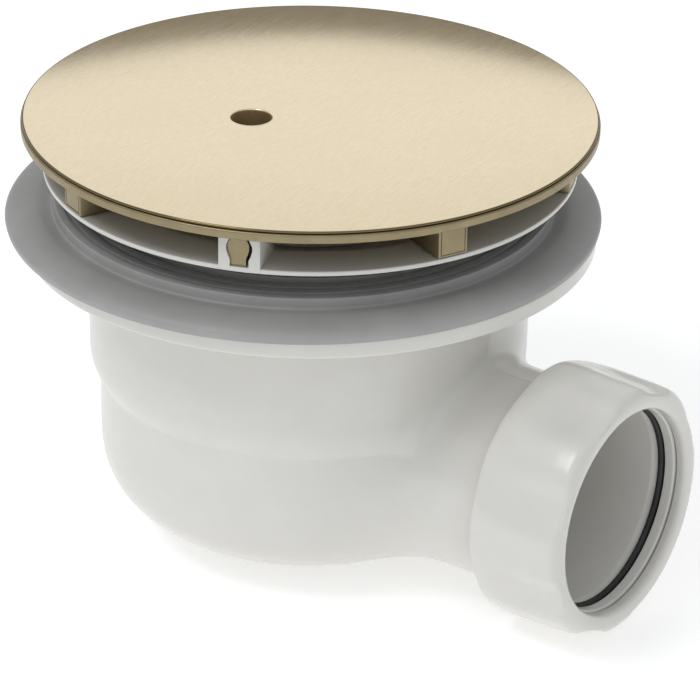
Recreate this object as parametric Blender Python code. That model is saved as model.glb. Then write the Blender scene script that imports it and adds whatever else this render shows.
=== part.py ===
"""Shower floor drain: a 90 mm trap waste with a raised brass cover and a 40 mm compression outlet.

Units are metres and +Z is up. The origin is on the axis of the tray hole, in the plane of the
underside of the top flange's lip. The outlet runs along +X. Everything that the main axis carries
is turned about Z, and everything on the outlet is turned about the outlet's own axis.
"""

import math

import bmesh
import bpy
from mathutils import Matrix

MM = 0.001
FIT_GAP = 0.3 * MM  # left open between pieces that touch on the real object

# How finely round pieces are divided
LARGE_STEPS = 48
SMALL_STEPS = 32
ROUND_STEPS = 4

# Cover: a thin domed brass plate on a moulded carrier
COVER_R = 57.4 * MM
COVER_EDGE_Z = 11.0 * MM
COVER_DOME = 1.2 * MM
COVER_DOME_POWER = 3.3  # nearly flat in the middle, falling away towards the rim
PLATE_R = 57.1 * MM
PLATE_T = 0.5 * MM
CARRIER_T = 1.55 * MM
CARRIER_BAND = 2.0 * MM
CARRIER_BITE = 0.4 * MM  # how far each support runs up into the carrier
LIFT_HOLE_R = 4.0 * MM
LIFT_HOLE_REACH = 13.0 * MM
LIFT_HOLE_DEG = -117.1
LIFT_COLLAR_T = 0.8 * MM
LIFT_COLLAR_FOOT_Z = 6.6 * MM
LIFT_BOSS_WALL = 1.3 * MM
LIFT_BOSS_FOOT_Z = 3.6 * MM

# Supports under the cover: eight stations, two of them snap clips
STATIONS = 8
FIRST_CLIP_DEG = -67.5
SUPPORT_FACE_R = 53.2 * MM
LEG_WIDTH = 6.4 * MM
LEG_INNER_R = 41.0 * MM
RIB_WIDTH = 2.0 * MM
RIB_INNER_R = 3.0 * MM
RIB_DEPTH = 2.2 * MM
RIB_CLEARANCE = 1.0 * MM
CLIP_WIDTH = 3.0 * MM
CLIP_BARB_R = 2.1 * MM
CLIP_T = 1.8 * MM
CLIP_INSET = 1.0 * MM
SOCKET_WIDTH = 8.2 * MM
SOCKET_DEPTH = 10.5 * MM
SOCKET_TOP_Z = 8.0 * MM
SOCKET_SLOT = 4.6 * MM
SOCKET_BACK = 2.0 * MM

# Top flange: thin lip on the tray, shallow dish, threaded throat through the tray hole
LIP_R = 53.2 * MM
LIP_T = 1.0 * MM
DISH_FALL = 0.35 * MM
PILOT_R = 44.2 * MM
PILOT_DEPTH = 2.5 * MM
THROAT_R = 40.4 * MM
THROAT_BORE_R = 37.6 * MM
THROAT_FOOT_Z = -26.0 * MM
SEAT_BORE_R = 39.6 * MM
SEAT_Z = -9.0 * MM
FLANGE_PITCH = 4.0 * MM
FLANGE_TURNS = 2.5
FLANGE_SEAL_R = 50.0 * MM
FLANGE_SEAL_T = 1.5 * MM

# Gasket between the tray's underside and the trap
GASKET_BORE_R = 43.3 * MM
GASKET_RIB_Z = -5.9 * MM
GASKET_FOOT_Z = -11.1 * MM
GASKET_RIBS = 3
GASKET_RIB_PITCH = 2.45 * MM
GASKET_LAST_RIB_R = 49.9 * MM
GASKET_GROOVE = 0.75 * MM
GASKET_GROOVE_DEPTH = 0.6 * MM
GASKET_STEP_Z = -8.1 * MM
GASKET_CREST_R = 53.0 * MM
GASKET_CREST_Z = -7.6 * MM
GASKET_R = 59.6 * MM
GASKET_BULGE_Z = -9.9 * MM
GASKET_SLIP = 1.4 * MM  # the loose ring lies a little off centre, against the throat
GASKET_SLIP_DEG = 240.0

# Trap body
WALL = 2.5 * MM
BODY_FLANGE_R = 57.8 * MM
BODY_FLANGE_T = 3.8 * MM
BODY_TOP_Z = GASKET_FOOT_Z - FIT_GAP
BODY_UPPER_R = 44.4 * MM
BODY_LOWER_R = 42.3 * MM
SHOULDER_TOP_Z = -38.2 * MM
SHOULDER_ROUND = 11.0 * MM
SHOULDER_DEG = 29.0
CREASE_Z = -44.8 * MM
BOWL_TOP_Z = -56.0 * MM
BOWL_FOOT_Z = -77.0 * MM
BOWL_FLAT_R = 14.3 * MM
BOWL_POWER = 2.5
FLANGE_THREAD_BORE_R = 42.0 * MM

# Outlet, measured along its axis from the main axis
OUTLET_Z = -53.3 * MM
NECK_R = 21.25 * MM
NECK_ROOT_R = 23.2 * MM
NECK_ROOT_L = 34.0 * MM
NECK_L = 45.0 * MM
SPIGOT_R = 22.2 * MM
SPIGOT_L = 59.5 * MM
SPIGOT_END_L = 71.7 * MM
WATERWAY_R = 18.2 * MM
SOCKET_R = 20.3 * MM
SOCKET_STOP_L = 53.0 * MM
OUTLET_PITCH = 3.0 * MM
OUTLET_TURNS = 2.5

# Compression nut with its seal and slip washer
NUT_BACK_L = 58.0 * MM
NUT_FACE_L = 78.2 * MM
NUT_R = 25.6 * MM
NUT_LOBE = 0.65 * MM
NUT_LOBES = 8
NUT_BORE_R = 23.3 * MM
NUT_MOUTH_R = 21.0 * MM
NUT_LIP_L = 75.9 * MM
WASHER_R = 23.0 * MM
WASHER_BORE_R = 20.6 * MM
WASHER_BACK_L = 74.1 * MM
SEAL_BORE_R = 20.1 * MM

# Removable inner pieces
DIP_RIM_R = 39.2 * MM
DIP_RIM_TOP_Z = -4.2 * MM
DIP_PLATE_T = 1.8 * MM
DIP_BORE_R = 19.6 * MM
DIP_WALL = 1.5 * MM
DIP_FOOT_Z = -62.5 * MM
ORING_R = 38.45 * MM
ORING_CORD_R = 0.85 * MM
ORING_Z = -6.75 * MM
ORING_GROOVE_R = 37.3 * MM
ORING_GROOVE = 2.3 * MM
CUP_R = 33.0 * MM
CUP_WALL = 1.8 * MM
CUP_RIM_Z = -28.0 * MM
CUP_FOOT_Z = -72.0 * MM
CUP_ROUND = 14.0 * MM
CUP_FEET = 3
CUP_FOOT_R = 2.2 * MM
CUP_FOOT_REACH = 13.0 * MM
STRAINER_RIM_R = 26.0 * MM
STRAINER_R = 19.2 * MM
STRAINER_WALL = 1.2 * MM
STRAINER_FOOT_Z = -17.0 * MM
STRAINER_SLOTS = 12
STRAINER_SLOT = 2.4 * MM
STRAINER_KNOB_R = 3.2 * MM
STRAINER_KNOB_Z = -0.5 * MM
STRAINER_STEM_R = 1.6 * MM

WHITE_PP = ("white_pp", (0.62, 0.62, 0.58, 1), 0.35, 0.0)
BRASS_PLATE = ("brushed_brass", (0.72, 0.60, 0.38, 1), 0.32, 1.0)
BRASS_CARRIER = ("brass_finish_moulding", (0.30, 0.25, 0.16, 1), 0.45, 0.6)
GREY_RUBBER = ("grey_rubber", (0.24, 0.24, 0.24, 1), 0.6, 0.0)
BLACK_RUBBER = ("black_rubber", (0.02, 0.02, 0.02, 1), 0.5, 0.0)


def clear_scene():
    for obj in list(bpy.data.objects):
        bpy.data.objects.remove(obj, do_unlink=True)


def material(spec):
    """The Principled material of a (name, colour, roughness, metallic) tuple, made once."""
    name, colour, roughness, metallic = spec
    found = bpy.data.materials.get(name)
    if found:
        return found
    made = bpy.data.materials.new(name)
    made.use_nodes = True
    shader = made.node_tree.nodes["Principled BSDF"]
    shader.inputs["Base Color"].default_value = colour
    shader.inputs["Roughness"].default_value = roughness
    shader.inputs["Metallic"].default_value = metallic
    return made


def add_object(name, mesh_edit, spec=None):
    """A new object from a bmesh, which this frees."""
    bmesh.ops.recalc_face_normals(mesh_edit, faces=mesh_edit.faces)
    mesh = bpy.data.meshes.new(name)
    mesh_edit.to_mesh(mesh)
    mesh_edit.free()
    obj = bpy.data.objects.new(name, mesh)
    bpy.context.scene.collection.objects.link(obj)
    if spec:
        obj.data.materials.append(material(spec))
    return obj


def arc(centre_r, centre_z, radius_r, radius_z, start_deg, end_deg, steps=ROUND_STEPS, power=2.0):
    """Points of an elliptical arc in the (radius, height) plane; a power above 2 squares it up."""
    points = []
    for step in range(steps + 1):
        angle = math.radians(start_deg + (end_deg - start_deg) * step / steps)
        across = math.cos(angle)
        up = math.sin(angle)
        points.append(
            (
                centre_r + radius_r * math.copysign(abs(across) ** (2 / power), across),
                centre_z + radius_z * math.copysign(abs(up) ** (2 / power), up),
            )
        )
    return points


def turned(name, profile, steps, spec=None, solid=False):
    """Turns a (radius, height) profile about Z. A solid's profile runs from axis to axis."""
    edit = bmesh.new()
    verts = [edit.verts.new((radius, 0, height)) for radius, height in profile]
    edges = [edit.edges.new(pair) for pair in zip(verts, verts[1:])]
    if not solid:
        edges.append(edit.edges.new((verts[-1], verts[0])))
    bmesh.ops.spin(
        edit,
        geom=verts + edges,
        cent=(0, 0, 0),
        axis=(0, 0, 1),
        angle=math.tau,
        steps=steps,
        use_merge=True,
    )
    bmesh.ops.remove_doubles(edit, verts=edit.verts, dist=0.001 * MM)
    return add_object(name, edit, spec)


def block(name, low, high, spec=None):
    """A box between two corners."""
    edit = bmesh.new()
    bmesh.ops.create_cube(edit, size=1.0)
    centre = [(a + b) / 2 for a, b in zip(low, high)]
    size = [b - a for a, b in zip(low, high)]
    edit.transform(Matrix.Translation(centre) @ Matrix.Diagonal((*size, 1)))
    return add_object(name, edit, spec)


def rod(name, radius, low_z, high_z, steps=20):
    """An upright cylinder on Z."""
    return turned(name, [(0, high_z), (radius, high_z), (radius, low_z), (0, low_z)], steps, solid=True)


def helix_ridge(name, root_r, crest_r, foot, crest, pitch, turns, start_z, steps=20):
    """A thread ridge: a trapezoid of width foot at its root and crest at its top, swept upwards."""
    edit = bmesh.new()
    sections = []
    count = int(turns * steps)
    for step in range(count + 1):
        angle = math.tau * step / steps
        height = start_z + pitch * step / steps
        across, along = math.cos(angle), math.sin(angle)
        corners = (
            (root_r, height - foot / 2),
            (crest_r, height - crest / 2),
            (crest_r, height + crest / 2),
            (root_r, height + foot / 2),
        )
        sections.append([edit.verts.new((r * across, r * along, z)) for r, z in corners])
    for near, far in zip(sections, sections[1:]):
        for corner in range(4):
            following = (corner + 1) % 4
            edit.faces.new((near[corner], far[corner], far[following], near[following]))
    edit.faces.new(sections[0])
    edit.faces.new(reversed(sections[-1]))
    return add_object(name, edit)


def turn(obj, degrees):
    """Turns an object's mesh about Z."""
    obj.data.transform(Matrix.Rotation(math.radians(degrees), 4, "Z"))
    return obj


def shift(obj, x, y, z=0.0):
    """Moves an object's mesh."""
    obj.data.transform(Matrix.Translation((x, y, z)))
    return obj


def combine(target, tool, operation):
    """Boolean of two objects, kept in the first; the second is used up."""
    modifier = target.modifiers.new("combine", "BOOLEAN")
    modifier.operation = operation
    modifier.solver = "EXACT"
    modifier.object = tool
    bpy.context.view_layer.update()
    evaluated = target.evaluated_get(bpy.context.evaluated_depsgraph_get())
    mesh = bpy.data.meshes.new_from_object(evaluated)
    target.modifiers.remove(modifier)
    target.data = mesh
    bpy.data.objects.remove(tool, do_unlink=True)


def finish(obj, sharp_deg=35.0):
    """Shades the round faces smooth and keeps edges sharper than the angle."""
    obj.data.shade_smooth()
    obj.data.set_sharp_from_angle(angle=math.radians(sharp_deg))
    return obj


def station_angles():
    """The eight support directions and whether each holds a clip."""
    for index in range(STATIONS):
        yield FIRST_CLIP_DEG + index * 360 / STATIONS, index % (STATIONS // 2) == 0


def dome_z(radius, drop):
    """Height of the cover's dome at a radius, a drop below its top face."""
    return COVER_EDGE_Z + COVER_DOME * (1 - (radius / COVER_R) ** COVER_DOME_POWER) - drop


def dome_points(outer_r, drop, steps=4):
    """Points of the dome from the axis out to a radius, closer together towards the rim."""
    radii = [outer_r * math.sin(math.pi / 2 * step / steps) for step in range(steps + 1)]
    return [(radius, dome_z(radius, drop)) for radius in radii]


def lift_hole_at(obj):
    """Moves a tool on Z to the lift hole's place."""
    angle = math.radians(LIFT_HOLE_DEG)
    return shift(obj, LIFT_HOLE_REACH * math.cos(angle), LIFT_HOLE_REACH * math.sin(angle))


def make_cover_plate():
    edge_low = dome_z(PLATE_R, PLATE_T)
    edge_high = dome_z(PLATE_R, 0)
    edge_mid = (edge_low + edge_high) / 2
    half = PLATE_T / 2
    profile = dome_points(PLATE_R - half, 0)
    profile += arc(PLATE_R - half, edge_mid, half, half, 60, -60, 4)
    profile += reversed(dome_points(PLATE_R - half, PLATE_T))
    plate = turned("cover_plate", profile, LARGE_STEPS, BRASS_PLATE, solid=True)
    collar_top_z = dome_z(LIFT_HOLE_REACH, PLATE_T / 2)
    collar = rod("collar", LIFT_HOLE_R + LIFT_COLLAR_T, LIFT_COLLAR_FOOT_Z, collar_top_z)
    combine(plate, lift_hole_at(collar), "UNION")
    combine(plate, lift_hole_at(rod("hole", LIFT_HOLE_R, 0, 20 * MM)), "DIFFERENCE")
    return finish(plate)


def carrier_leg(angle):
    foot_z = LIP_T + FIT_GAP
    low = (LEG_INNER_R, -LEG_WIDTH / 2, foot_z)
    high = (SUPPORT_FACE_R, LEG_WIDTH / 2, dome_z(SUPPORT_FACE_R, PLATE_T + FIT_GAP + CARRIER_BITE))
    return turn(block("leg", low, high), angle)


def carrier_clip(angle):
    """A flat tab with a round barb half-way down, hung where the socket's keyhole is."""
    foot_z = LIP_T + 2 * FIT_GAP
    top_z = dome_z(SUPPORT_FACE_R, PLATE_T + FIT_GAP + CARRIER_BITE)
    face_r = SUPPORT_FACE_R - CLIP_INSET
    tab = block("tab", (face_r - CLIP_T, -CLIP_WIDTH / 2, foot_z), (face_r, CLIP_WIDTH / 2, top_z))
    barb = rod("barb", CLIP_BARB_R, -CLIP_T / 2 + 0.05 * MM, CLIP_T / 2 - 0.05 * MM, 16)
    barb.data.transform(Matrix.Rotation(math.pi / 2, 4, "Y"))
    shift(barb, face_r - CLIP_T / 2, 0, socket_mid_z())
    combine(tab, barb, "UNION")
    return turn(tab, angle)


def carrier_rib(angle):
    top_z = dome_z(LEG_INNER_R, PLATE_T + FIT_GAP + CARRIER_BITE)
    low = (RIB_INNER_R, -RIB_WIDTH / 2, dome_z(COVER_R, PLATE_T + FIT_GAP + CARRIER_T) - RIB_DEPTH)
    outer_r = SUPPORT_FACE_R - SOCKET_DEPTH - RIB_CLEARANCE
    return turn(block("rib", low, (outer_r, RIB_WIDTH / 2, top_z)), angle)


def make_cover_carrier():
    top_drop = PLATE_T + FIT_GAP
    band_foot = dome_z(COVER_R, top_drop + CARRIER_T)
    round_r = 0.4 * MM
    profile = dome_points(COVER_R - round_r, top_drop)
    profile += arc(COVER_R - round_r, dome_z(COVER_R, top_drop) - round_r, round_r, round_r, 60, 0, 2)
    profile += [(COVER_R, band_foot), (COVER_R - CARRIER_BAND, band_foot)]
    web_drop = top_drop + CARRIER_T - 0.2 * MM
    profile += reversed(dome_points(COVER_R - CARRIER_BAND - 0.2 * MM, web_drop))
    carrier = turned("cover_carrier", profile, LARGE_STEPS, BRASS_CARRIER, solid=True)
    for angle, is_clip in station_angles():
        combine(carrier, carrier_rib(angle), "UNION")
        combine(carrier, carrier_clip(angle) if is_clip else carrier_leg(angle), "UNION")
    boss_top_z = dome_z(LIFT_HOLE_REACH, top_drop + CARRIER_T / 2)
    boss_bore = LIFT_HOLE_R + LIFT_COLLAR_T + FIT_GAP
    boss = rod("boss", boss_bore + LIFT_BOSS_WALL, LIFT_BOSS_FOOT_Z, boss_top_z)
    combine(carrier, lift_hole_at(boss), "UNION")
    combine(carrier, lift_hole_at(rod("hole", boss_bore, 0, 20 * MM)), "DIFFERENCE")
    return finish(carrier)


def socket_mid_z():
    return (LIP_T + SOCKET_TOP_Z) / 2


def clip_socket(angle):
    """A block on the dish with a keyhole slot that is open in front and on top."""
    half = SOCKET_WIDTH / 2
    inner_r = SUPPORT_FACE_R - SOCKET_DEPTH
    body = block("socket", (inner_r, -half, 0.3 * MM), (SUPPORT_FACE_R, half, SOCKET_TOP_Z))
    slot_back = inner_r + SOCKET_BACK
    slot_high = (SUPPORT_FACE_R + 1 * MM, SOCKET_SLOT / 2, SOCKET_TOP_Z + 1 * MM)
    slot = block("slot", (slot_back, -SOCKET_SLOT / 2, LIP_T + FIT_GAP), slot_high)
    keyhole = rod("keyhole", CLIP_BARB_R + 2 * FIT_GAP, 0, SOCKET_DEPTH, 16)
    keyhole.data.transform(Matrix.Rotation(math.pi / 2, 4, "Y"))
    shift(keyhole, slot_back + 0.1 * MM, 0, socket_mid_z())
    combine(body, slot, "DIFFERENCE")
    combine(body, keyhole, "DIFFERENCE")
    return turn(body, angle)


def make_top_flange():
    dish_z = LIP_T - DISH_FALL
    round_r = PILOT_R - SEAT_BORE_R
    profile = [(LIP_R, 0), (LIP_R, LIP_T - 0.3 * MM), (LIP_R - 0.3 * MM, LIP_T), (LIP_R - 1.2 * MM, LIP_T)]
    profile += arc(PILOT_R, dish_z - round_r, round_r, round_r, 90, 180)
    profile += [(SEAT_BORE_R, SEAT_Z), (THROAT_BORE_R, SEAT_Z), (THROAT_BORE_R, THROAT_FOOT_Z)]
    profile += [(THROAT_R, THROAT_FOOT_Z), (THROAT_R, SEAT_Z - 0.8 * MM), (THROAT_R + 1.2 * MM, SEAT_Z)]
    profile += [(THROAT_R + 1.2 * MM, -PILOT_DEPTH - 2 * MM), (PILOT_R, -PILOT_DEPTH), (PILOT_R, 0)]
    flange = turned("top_flange", profile, LARGE_STEPS, WHITE_PP)
    thread_start = THROAT_FOOT_Z + 1.6 * MM
    thread = helix_ridge(
        "thread",
        THROAT_R - 1.1 * MM,
        THROAT_R + 1.1 * MM,
        2.6 * MM,
        1.0 * MM,
        FLANGE_PITCH,
        FLANGE_TURNS,
        thread_start,
    )
    combine(flange, thread, "UNION")
    for angle, is_clip in station_angles():
        if is_clip:
            combine(flange, clip_socket(angle), "UNION")
    return finish(flange)


def make_flange_seal():
    top = -FIT_GAP
    foot = top - FLANGE_SEAL_T
    bore = PILOT_R + FIT_GAP
    profile = [(FLANGE_SEAL_R, foot), (FLANGE_SEAL_R, top), (bore, top), (bore, foot)]
    return finish(turned("flange_seal", profile, LARGE_STEPS, BLACK_RUBBER))


def make_body_gasket():
    """A raised ribbed ring, a step down from it, and a low crowned flange round both."""
    profile = [(GASKET_BORE_R, GASKET_FOOT_Z), (GASKET_BORE_R, GASKET_RIB_Z)]
    for rib in reversed(range(1, GASKET_RIBS)):
        edge = GASKET_LAST_RIB_R - rib * GASKET_RIB_PITCH
        floor = GASKET_RIB_Z - GASKET_GROOVE_DEPTH
        profile += [(edge, GASKET_RIB_Z), (edge, floor)]
        profile += [(edge + GASKET_GROOVE, floor), (edge + GASKET_GROOVE, GASKET_RIB_Z)]
    profile += [(GASKET_LAST_RIB_R, GASKET_RIB_Z), (GASKET_LAST_RIB_R + 0.2 * MM, GASKET_STEP_Z)]
    height = GASKET_CREST_Z - GASKET_BULGE_Z
    profile += arc(GASKET_CREST_R, GASKET_BULGE_Z, GASKET_R - GASKET_CREST_R, height, 90, 0)
    profile += [(GASKET_R - 0.3 * MM, GASKET_FOOT_Z)]
    gasket = turned("body_gasket", profile, LARGE_STEPS, GREY_RUBBER)
    slip = math.radians(GASKET_SLIP_DEG)
    shift(gasket, GASKET_SLIP * math.cos(slip), GASKET_SLIP * math.sin(slip))
    return finish(gasket)


def bowl_profile(inset):
    """The bowl's section below the flange, drawn inset from the outer face by a wall."""
    upper, lower = BODY_UPPER_R - inset, BODY_LOWER_R - inset
    profile = arc(upper - SHOULDER_ROUND, SHOULDER_TOP_Z, SHOULDER_ROUND, SHOULDER_ROUND, 0, -SHOULDER_DEG, 3)
    profile.append((lower, CREASE_Z))
    radius_r = lower - BOWL_FLAT_R
    radius_z = BOWL_TOP_Z - (BOWL_FOOT_Z + inset)
    profile += arc(lower - radius_r, BOWL_TOP_Z, radius_r, radius_z, 0, -90, 7, BOWL_POWER)
    return profile + [(0, BOWL_FOOT_Z + inset)]


def outlet_turned(name, profile):
    """A solid turned about the outlet's axis; its heights are distances from the main axis."""
    obj = turned(name, profile, SMALL_STEPS, solid=True)
    obj.data.transform(Matrix.Translation((0, 0, OUTLET_Z)) @ Matrix.Rotation(math.pi / 2, 4, "Y"))
    return obj


def make_trap_body():
    flange_foot = BODY_TOP_Z - BODY_FLANGE_T
    rim = 0.5 * MM
    profile = [(0, BODY_TOP_Z), (BODY_FLANGE_R - rim, BODY_TOP_Z), (BODY_FLANGE_R, BODY_TOP_Z - rim)]
    profile += [(BODY_FLANGE_R - 0.2 * MM, flange_foot + rim), (BODY_FLANGE_R - rim, flange_foot)]
    fillet = 2.0 * MM
    profile += arc(BODY_UPPER_R + fillet, flange_foot - fillet, fillet, fillet, 90, 180, 3)
    body = turned("trap_body", profile + bowl_profile(0), LARGE_STEPS, WHITE_PP, solid=True)

    inside_l = 20 * MM
    outlet = [(0, SPIGOT_END_L), (SPIGOT_R, SPIGOT_END_L), (SPIGOT_R, SPIGOT_L), (NECK_R, SPIGOT_L - 0.8 * MM)]
    outlet += [(NECK_R, NECK_L), (NECK_ROOT_R, NECK_ROOT_L), (NECK_ROOT_R, inside_l), (0, inside_l)]
    combine(body, outlet_turned("outlet", outlet), "UNION")
    thread = helix_ridge(
        "thread",
        SPIGOT_R - 0.9 * MM,
        SPIGOT_R + 0.7 * MM,
        1.9 * MM,
        0.8 * MM,
        OUTLET_PITCH,
        OUTLET_TURNS,
        SPIGOT_L + 2.4 * MM,
    )
    thread.data.transform(Matrix.Translation((0, 0, OUTLET_Z)) @ Matrix.Rotation(math.pi / 2, 4, "Y"))
    combine(body, thread, "UNION")

    cavity_top = BODY_TOP_Z + 1 * MM
    cavity = [(0, cavity_top), (FLANGE_THREAD_BORE_R, cavity_top)]
    cavity += bowl_profile(WALL)
    combine(body, turned("cavity", cavity, LARGE_STEPS, solid=True), "DIFFERENCE")
    waterway = [(0, SPIGOT_END_L + 1 * MM), (SOCKET_R + 1 * MM, SPIGOT_END_L + 1 * MM)]
    waterway += [(SOCKET_R, SPIGOT_END_L - 1 * MM), (SOCKET_R, SOCKET_STOP_L)]
    waterway += [(WATERWAY_R, SOCKET_STOP_L), (WATERWAY_R, inside_l), (0, inside_l)]
    combine(body, outlet_turned("waterway", waterway), "DIFFERENCE")
    return finish(body)


def make_siphon_cup():
    outer = [(CUP_R, CUP_RIM_Z)]
    outer += arc(CUP_R - CUP_ROUND, CUP_FOOT_Z + CUP_ROUND, CUP_ROUND, CUP_ROUND, 0, -90)
    inner_round = CUP_ROUND - CUP_WALL
    inner = arc(CUP_R - CUP_ROUND, CUP_FOOT_Z + CUP_ROUND, inner_round, inner_round, -90, 0)
    profile = outer + [(0, CUP_FOOT_Z)]
    inside = [(0, CUP_FOOT_Z + CUP_WALL)] + inner + [(CUP_R - CUP_WALL, CUP_RIM_Z)]
    cup = turned("siphon_cup", inside + profile, SMALL_STEPS, WHITE_PP, solid=True)
    for index in range(CUP_FEET):
        foot = rod("foot", CUP_FOOT_R, BOWL_FOOT_Z + WALL + FIT_GAP, CUP_FOOT_Z + 1 * MM, 12)
        shift(foot, CUP_FOOT_REACH, 0)
        combine(cup, turn(foot, index * 360 / CUP_FEET + 60), "UNION")
    return finish(cup)


def make_dip_tube():
    plate_foot = SEAT_Z + FIT_GAP
    plate_top = plate_foot + DIP_PLATE_T
    groove_low, groove_high = ORING_Z - ORING_GROOVE / 2, ORING_Z + ORING_GROOVE / 2
    mouth = 3.0 * MM
    profile = [(DIP_RIM_R, plate_foot), (DIP_RIM_R, groove_low), (ORING_GROOVE_R, groove_low)]
    profile += [(ORING_GROOVE_R, groove_high), (DIP_RIM_R, groove_high), (DIP_RIM_R, DIP_RIM_TOP_Z)]
    profile += [(ORING_GROOVE_R - 1.8 * MM, DIP_RIM_TOP_Z), (ORING_GROOVE_R - 1.8 * MM, plate_top)]
    profile += arc(DIP_BORE_R + mouth, plate_top - mouth, mouth, mouth, 90, 180, 4)
    profile += [(DIP_BORE_R, DIP_FOOT_Z), (DIP_BORE_R + DIP_WALL, DIP_FOOT_Z)]
    profile += arc(DIP_BORE_R + mouth + 1.8 * MM, plate_foot - mouth, mouth + 0.3 * MM, mouth, 180, 90, 4)
    return finish(turned("dip_tube", profile, SMALL_STEPS, WHITE_PP))


def make_dip_tube_oring():
    profile = arc(ORING_R, ORING_Z, ORING_CORD_R, ORING_CORD_R, 0, 300, 5)
    return finish(turned("dip_tube_oring", profile, SMALL_STEPS, BLACK_RUBBER), 80)


def make_hair_strainer():
    """A slotted basket with a lifting knob, hung in the dip tube's mouth by its rim."""
    rim_foot = SEAT_Z + FIT_GAP + DIP_PLATE_T + FIT_GAP
    rim_top = rim_foot + STRAINER_WALL
    inner_r = STRAINER_R - STRAINER_WALL
    floor_z = STRAINER_FOOT_Z + STRAINER_WALL
    profile = [(0, floor_z), (inner_r, floor_z), (inner_r, rim_foot), (inner_r + 1 * MM, rim_top)]
    profile += [(STRAINER_RIM_R, rim_top), (STRAINER_RIM_R, rim_foot), (STRAINER_R, rim_foot)]
    profile += [(STRAINER_R, STRAINER_FOOT_Z), (0, STRAINER_FOOT_Z)]
    strainer = turned("hair_strainer", profile, SMALL_STEPS, WHITE_PP, solid=True)
    knob = [(0, STRAINER_KNOB_Z + STRAINER_KNOB_R)]
    knob += arc(0, STRAINER_KNOB_Z, STRAINER_KNOB_R, STRAINER_KNOB_R, 60, -60, 5)
    knob += [(STRAINER_STEM_R, STRAINER_FOOT_Z + STRAINER_WALL / 2), (0, STRAINER_FOOT_Z + STRAINER_WALL / 2)]
    combine(strainer, turned("knob", knob, 16, solid=True), "UNION")
    half = STRAINER_SLOT / 2
    for index in range(STRAINER_SLOTS):
        low = (inner_r - 10 * MM, -half, STRAINER_FOOT_Z - 1 * MM)
        high = (STRAINER_R - 2.4 * MM, half, floor_z + 1 * MM)
        combine(strainer, turn(block("slot", low, high), index * 360 / STRAINER_SLOTS), "DIFFERENCE")
        low = (inner_r - 1 * MM, -half, floor_z + 1.4 * MM)
        high = (STRAINER_R + 1 * MM, half, rim_foot - 5 * MM)
        combine(strainer, turn(block("slot", low, high), (index + 0.5) * 360 / STRAINER_SLOTS), "DIFFERENCE")
    return finish(strainer)


def lobed(obj, lobe, count, root_r):
    """Pushes an outer wall in and out round the axis, to make shallow grip lobes."""
    for vert in obj.data.vertices:
        x, y, z = vert.co
        radius = math.hypot(x, y)
        if radius > root_r:
            scale = 1 + lobe * math.cos(count * math.atan2(y, x)) / radius
            vert.co = (x * scale, y * scale, z)


def make_outlet_nut(parent):
    profile = [(NUT_BORE_R, NUT_BACK_L), (NUT_R - 1.5 * MM, NUT_BACK_L)]
    profile += arc(NUT_R - 2 * MM, NUT_BACK_L + 3 * MM, 2 * MM, 2 * MM, 0, 20, 1)
    profile += arc(NUT_R - 3 * MM, NUT_FACE_L - 3 * MM, 3 * MM, 3 * MM, 0, 90, 4)
    profile += [(NUT_MOUTH_R + 0.5 * MM, NUT_FACE_L), (NUT_MOUTH_R, NUT_FACE_L - 0.5 * MM)]
    profile += [(NUT_MOUTH_R, NUT_LIP_L), (NUT_BORE_R, NUT_LIP_L)]
    nut = turned("outlet_nut", profile, LARGE_STEPS, WHITE_PP)
    lobed(nut, NUT_LOBE, NUT_LOBES, NUT_BORE_R + 0.3 * MM)
    nut.parent = parent
    return finish(nut)


def make_slip_washer(parent):
    front = NUT_LIP_L - FIT_GAP
    profile = [(WASHER_BORE_R, WASHER_BACK_L), (WASHER_R, WASHER_BACK_L), (WASHER_R, front)]
    profile += [(WASHER_BORE_R + 0.3 * MM, front), (WASHER_BORE_R, front - 0.3 * MM)]
    washer = turned("slip_washer", profile, SMALL_STEPS, WHITE_PP)
    washer.parent = parent
    return finish(washer)


def make_outlet_seal(parent):
    """The wedge-shaped rubber ring that the washer presses into the spigot's mouth."""
    back = SPIGOT_END_L + FIT_GAP
    front = WASHER_BACK_L - FIT_GAP
    profile = [(SEAL_BORE_R, back), (SPIGOT_R, back), (WASHER_R, back + 0.6 * MM), (WASHER_R, front)]
    profile += [(SEAL_BORE_R + 0.4 * MM, front), (SEAL_BORE_R, back + 0.6 * MM)]
    seal = turned("outlet_seal", profile, SMALL_STEPS, BLACK_RUBBER)
    seal.parent = parent
    return finish(seal)


def outlet_axis():
    """An empty on the outlet's axis, whose Z points out of the outlet."""
    empty = bpy.data.objects.new("outlet_axis", None)
    bpy.context.scene.collection.objects.link(empty)
    empty.location = (0, 0, OUTLET_Z)
    empty.rotation_euler = (0, math.pi / 2, 0)
    return empty


def main():
    clear_scene()
    make_cover_plate()
    make_cover_carrier()
    make_top_flange()
    make_flange_seal()
    make_body_gasket()
    make_trap_body()
    make_siphon_cup()
    make_dip_tube()
    make_dip_tube_oring()
    make_hair_strainer()
    axis = outlet_axis()
    make_outlet_nut(axis)
    make_slip_washer(axis)
    make_outlet_seal(axis)


main()
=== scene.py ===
"""The looks of a shower floor drain: its pieces, materials, table, light and camera.

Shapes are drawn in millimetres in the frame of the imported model: +Z is up, the origin is on the
axis of the tray hole, and the outlet runs along +X.
"""

import math

import bmesh
import bpy
import numpy as np
from mathutils import Matrix, Vector


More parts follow.
